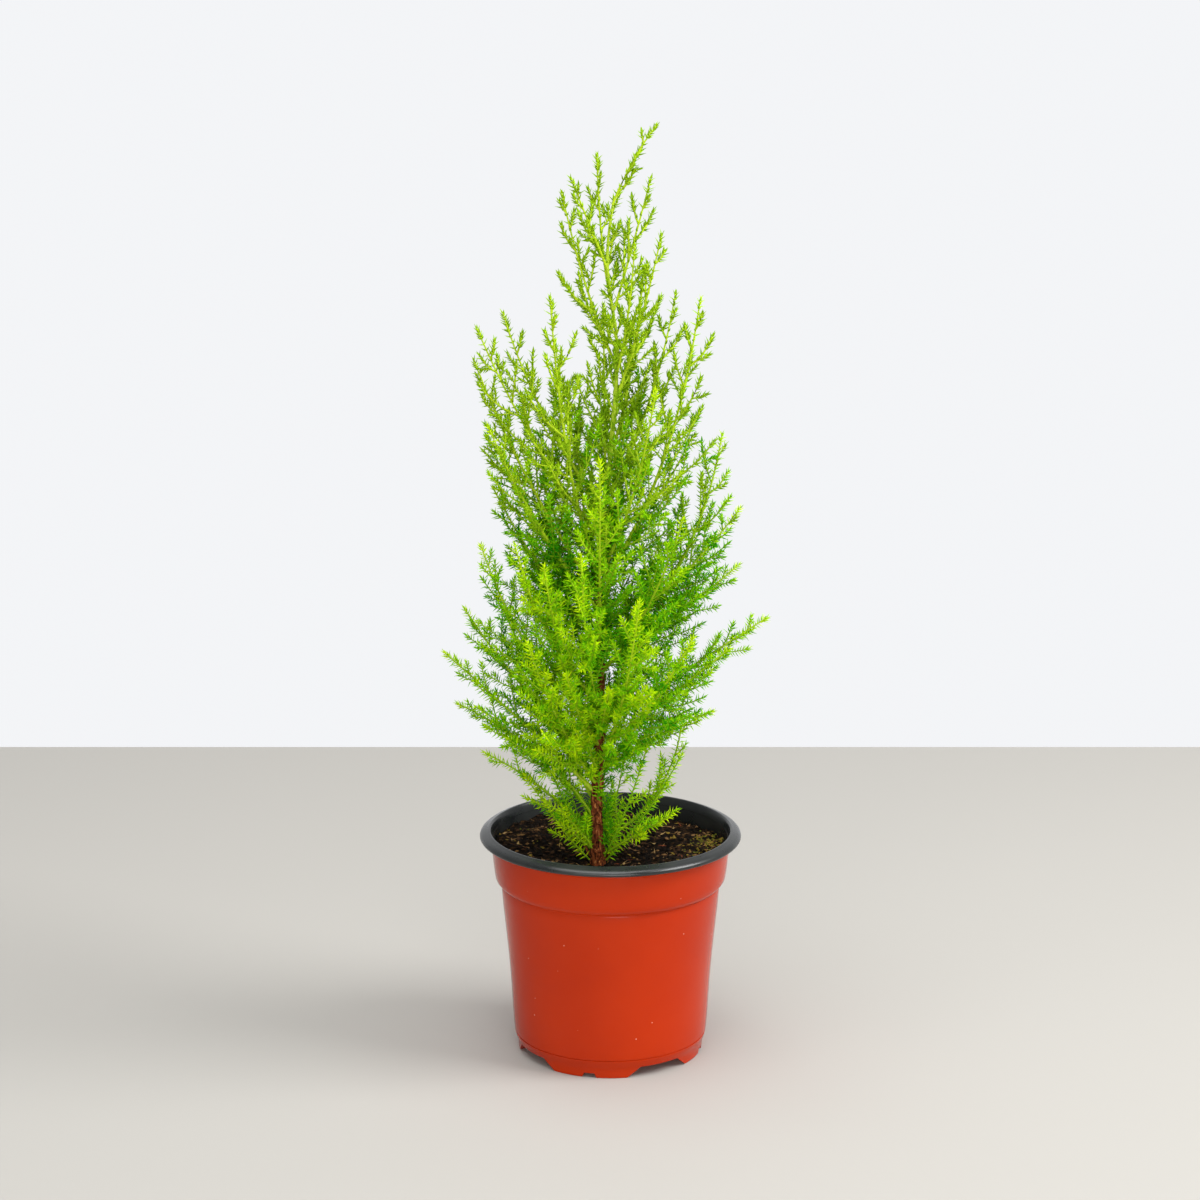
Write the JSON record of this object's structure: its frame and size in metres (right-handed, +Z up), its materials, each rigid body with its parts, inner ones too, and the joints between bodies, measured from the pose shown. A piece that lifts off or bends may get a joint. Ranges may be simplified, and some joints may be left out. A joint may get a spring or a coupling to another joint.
{
  "type": "potted lemon cypress",
  "caption": "Young lemon cypress with a narrow, feathery lime-green crown, standing in a red nursery pot with a black rolled rim, filled with soil.",
  "frame": {"origin": "centre of the pot's flat underside, at the middle pad", "axes": "+Z up along the pot's axis, -Y towards the viewer of the picture, +X to its right"},
  "size_m": [0.1487, 0.136, 0.4264],
  "materials": {
    "pot_outside": "glossy red outer layer",
    "pot_inside": "black inner layer and rolled rim",
    "soil": "dark potting soil with fibres and chips",
    "bark": "flaky reddish-brown bark",
    "foliage": "soft lime-green needles"
  },
  "bodies": {
    "root": {"bough_left_06": "bark", "bough_left_17": "bark", "bough_right_16": "bark", "bough_right_22": "bark", "foliage_00_leader": "foliage", "foliage_01_right": "foliage", "foliage_02_left": "foliage", "foliage_03_right": "foliage", "foliage_04_left": "foliage", "foliage_05_left": "foliage", "foliage_06_left": "foliage", "foliage_07_front_left": "foliage", "foliage_08_front_right": "foliage", "foliage_09_front": "foliage", "foliage_10_right": "foliage", "foliage_11_front": "foliage", "foliage_12_left": "foliage", "foliage_13_front_right": "foliage", "foliage_14_front_left": "foliage", "foliage_15_front": "foliage", "foliage_16_right": "foliage", "foliage_17_left": "foliage", "foliage_18_front": "foliage", "foliage_19_front_left": "foliage", "foliage_20_front_right": "foliage", "foliage_21_right": "foliage", "foliage_22_right": "foliage", "foliage_23_right": "foliage", "foliage_24_left": "foliage", "foliage_25_front": "foliage", "foliage_26_left": "foliage", "foliage_27_left": "foliage", "foliage_28_right": "foliage", "foliage_29_front_right": "foliage", "foliage_30_front_left": "foliage", "foliage_31_left": "foliage", "foliage_32_left": "foliage", "foliage_33_back_right": "foliage", "foliage_34_right": "foliage", "foliage_35_front_right": "foliage", "foliage_36_back_left": "foliage", "foliage_37_right": "foliage", "foliage_38_left": "foliage", "foliage_39_back_left": "foliage", "foliage_40_back_left": "foliage", "foliage_41_back": "foliage", "foliage_42_back_right": "foliage", "foliage_43_back_left": "foliage", "foliage_44_back": "foliage", "foliage_45_back_left": "foliage", "foliage_46_back": "foliage", "foliage_47_back": "foliage", "foliage_48_back_left": "foliage", "foliage_49_back": "foliage", "foliage_50_back_right": "foliage", "pot_liner": "pot_inside", "pot_shell": "pot_outside", "soil": "soil", "trunk": "bark"}
  },
  "joints": []
}
